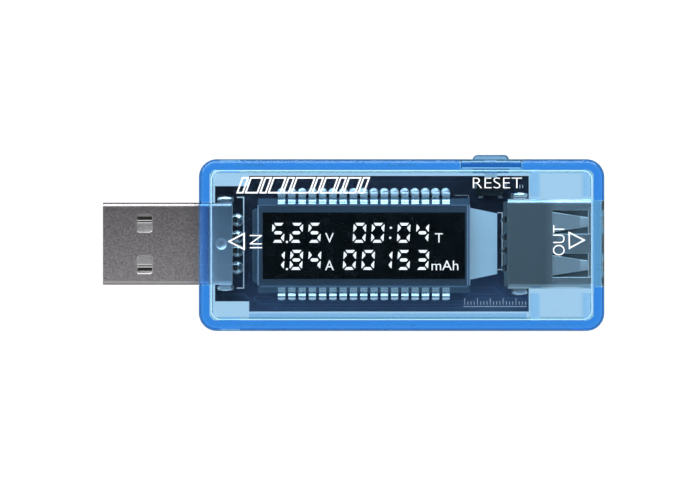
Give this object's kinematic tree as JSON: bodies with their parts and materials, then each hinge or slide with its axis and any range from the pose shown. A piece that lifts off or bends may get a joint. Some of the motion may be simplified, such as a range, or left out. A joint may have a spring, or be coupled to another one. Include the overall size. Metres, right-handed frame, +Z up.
{
  "type": "usb power meter",
  "caption": "Clear blue in-line USB power meter with a plug, a socket, a two-row segment display and a side reset button.",
  "frame": {"origin": "centre of the case's flat underside, half-way along the case without its plug", "axes": "+X from the plug to the socket, +Y to the reset button, +Z up out of the display"},
  "size_m": [0.0731, 0.0257, 0.013],
  "materials": {
    "case_plastic": "clear blue moulded plastic, glossy",
    "button_plastic": "clear blue moulded plastic, glossy",
    "board_mask": "dark blue-black solder mask, satin",
    "shell_steel": "nickel-plated sheet steel, satin",
    "connector_plastic": "white moulded insulator",
    "contact_metal": "gold-plated contacts",
    "solder": "bright solder",
    "display_glass": "clear glass",
    "polarizer": "black display face",
    "pin_metal": "bright tinned metal",
    "light_guide": "clear light guide",
    "white_film": "white film",
    "lamp": "small white lamp",
    "switch_plastic": "black moulded plastic",
    "dome_steel": "stainless snap dome",
    "chip_plastic": "black moulded chip body",
    "lead_metal": "bright tinned leads",
    "crystal_metal": "drawn metal can",
    "tantalum_yellow": "mustard moulded body",
    "ceramic_tan": "tan ceramic"
  },
  "bodies": {
    "root": {"top_cover": "case_plastic", "bottom_cover": "case_plastic", "circuit_board": "board_mask", "plug_shell": "shell_steel", "plug_insulator": "connector_plastic", "plug_contacts": "contact_metal", "plug_solder": "solder", "socket_shell": "shell_steel", "socket_insulator": "connector_plastic", "socket_contacts": "contact_metal", "socket_solder": "solder", "display_front_glass": "display_glass", "display_rear_glass": "display_glass", "display_front_polarizer": "polarizer", "display_rear_polarizer": "polarizer", "display_pins_reset_side": "pin_metal", "display_pins_far_side": "pin_metal", "display_solder": "solder", "backlight_guide": "light_guide", "backlight_film": "white_film", "backlight_reflector": "white_film", "backlight_led": "lamp", "switch_body": "switch_plastic", "switch_dome": "dome_steel", "switch_terminals": "pin_metal", "controller_chip": "chip_plastic", "controller_leads": "lead_metal", "memory_chip": "chip_plastic", "memory_leads": "lead_metal", "amplifier_chip": "chip_plastic", "amplifier_leads": "lead_metal", "regulator_body": "chip_plastic", "regulator_leads": "lead_metal", "crystal_can": "crystal_metal", "crystal_wires": "lead_metal", "shunt_resistor": "chip_plastic", "shunt_terminals": "lead_metal", "tantalum_capacitor": "tantalum_yellow", "tantalum_terminals": "lead_metal", "input_diode": "chip_plastic", "diode_terminals": "lead_metal", "chip_resistors": "chip_plastic", "chip_resistor_ends": "lead_metal", "chip_capacitors": "ceramic_tan", "chip_capacitor_ends": "lead_metal"},
    "reset_button": {"reset_button": "button_plastic"},
    "switch_plunger": {"switch_plunger": "switch_plastic"}
  },
  "joints": [
    {"name": "reset_slide", "type": "slide", "parent": "root", "child": "reset_button", "axis": [0, -1, 0], "range_m": [0, 0.0003], "stiffness_N_per_m": 1500, "springref_m": -0.0002},
    {"name": "plunger_slide", "type": "slide", "parent": "root", "child": "switch_plunger", "axis": [0, -1, 0], "range_m": [0, 0.0003], "deforming": ["switch_dome"]}
  ],
  "couplings": [
    {"joint": "plunger_slide", "follows": "reset_slide", "ratio": 1}
  ]
}
